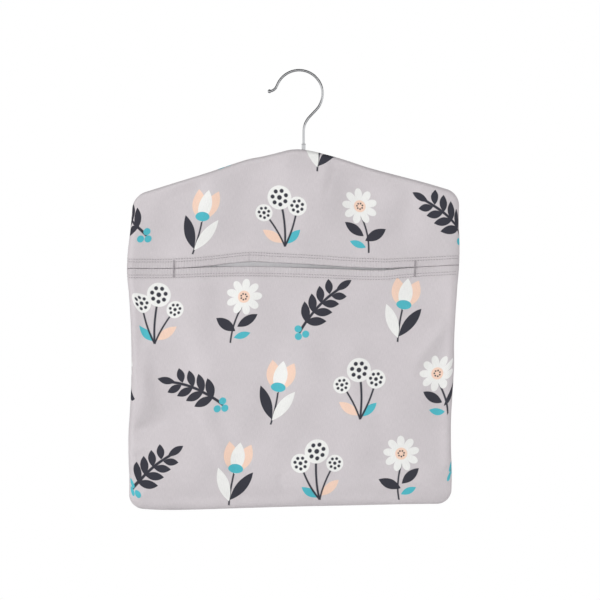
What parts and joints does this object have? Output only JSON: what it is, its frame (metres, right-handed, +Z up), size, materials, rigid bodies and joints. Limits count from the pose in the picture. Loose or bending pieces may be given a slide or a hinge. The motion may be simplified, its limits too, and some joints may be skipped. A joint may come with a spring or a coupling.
{
  "type": "peg bag",
  "caption": "Flat cloth bag for clothes pegs with a hemmed slit mouth across its front, hung on a short wooden hanger whose wire hook swivels over a line or rail.",
  "frame": {"origin": "inside of the hook's crown, the point that rests on a washing line or rail", "axes": "+Z up along the hook's shank, +X to the right seen from the front, the front face with the mouth looks along -Y"},
  "size_m": [0.3268, 0.0238, 0.438],
  "materials": {
    "printed_cloth": "matt printed cotton canvas, fine twill weave",
    "plain_cloth": "matt unprinted reverse of the canvas",
    "sewing_thread": "spun polyester sewing thread",
    "hanger_wood": "sanded pale wood, thin varnish",
    "hook_steel": "bright plated steel wire"
  },
  "bodies": {
    "hook": {"hook": "hook_steel"},
    "bag": {"hook_sleeve": "hook_steel", "hook_washer": "hook_steel", "hanger_bar": "hanger_wood", "back_panel": "printed_cloth", "front_yoke": "printed_cloth", "front_left_side": "printed_cloth", "front_right_side": "printed_cloth", "upper_left_hem": "printed_cloth", "upper_right_hem": "printed_cloth", "lower_left_hem": "printed_cloth", "lower_right_hem": "printed_cloth", "left_side_seam": "plain_cloth", "right_side_seam": "plain_cloth", "bottom_seam": "plain_cloth", "left_shoulder_seam": "plain_cloth", "right_shoulder_seam": "plain_cloth", "upper_stitch_row_1": "sewing_thread", "upper_stitch_row_2": "sewing_thread", "lower_left_stitch_row_1": "sewing_thread", "lower_left_stitch_row_2": "sewing_thread", "lower_right_stitch_row_1": "sewing_thread", "lower_right_stitch_row_2": "sewing_thread", "left_bar_tack": "sewing_thread", "right_bar_tack": "sewing_thread"},
    "mouth_flap": {"front_middle": "printed_cloth", "lower_middle_hem": "printed_cloth", "lower_middle_stitch_row_1": "sewing_thread", "lower_middle_stitch_row_2": "sewing_thread"}
  },
  "joints": [
    {"name": "hook_swivel", "type": "hinge", "parent": "hook", "child": "bag", "pos_m": [0.0045, 0, -0.0785], "axis": [0, 0, 1], "continuous": true},
    {"name": "mouth_open", "type": "hinge", "parent": "bag", "child": "mouth_flap", "pos_m": [-0.0025, 0, -0.435], "axis": [1, 0, 0], "range_deg": [0, 12], "stiffness_Nm_per_rad": 0.1, "springref_deg": -3.44}
  ]
}
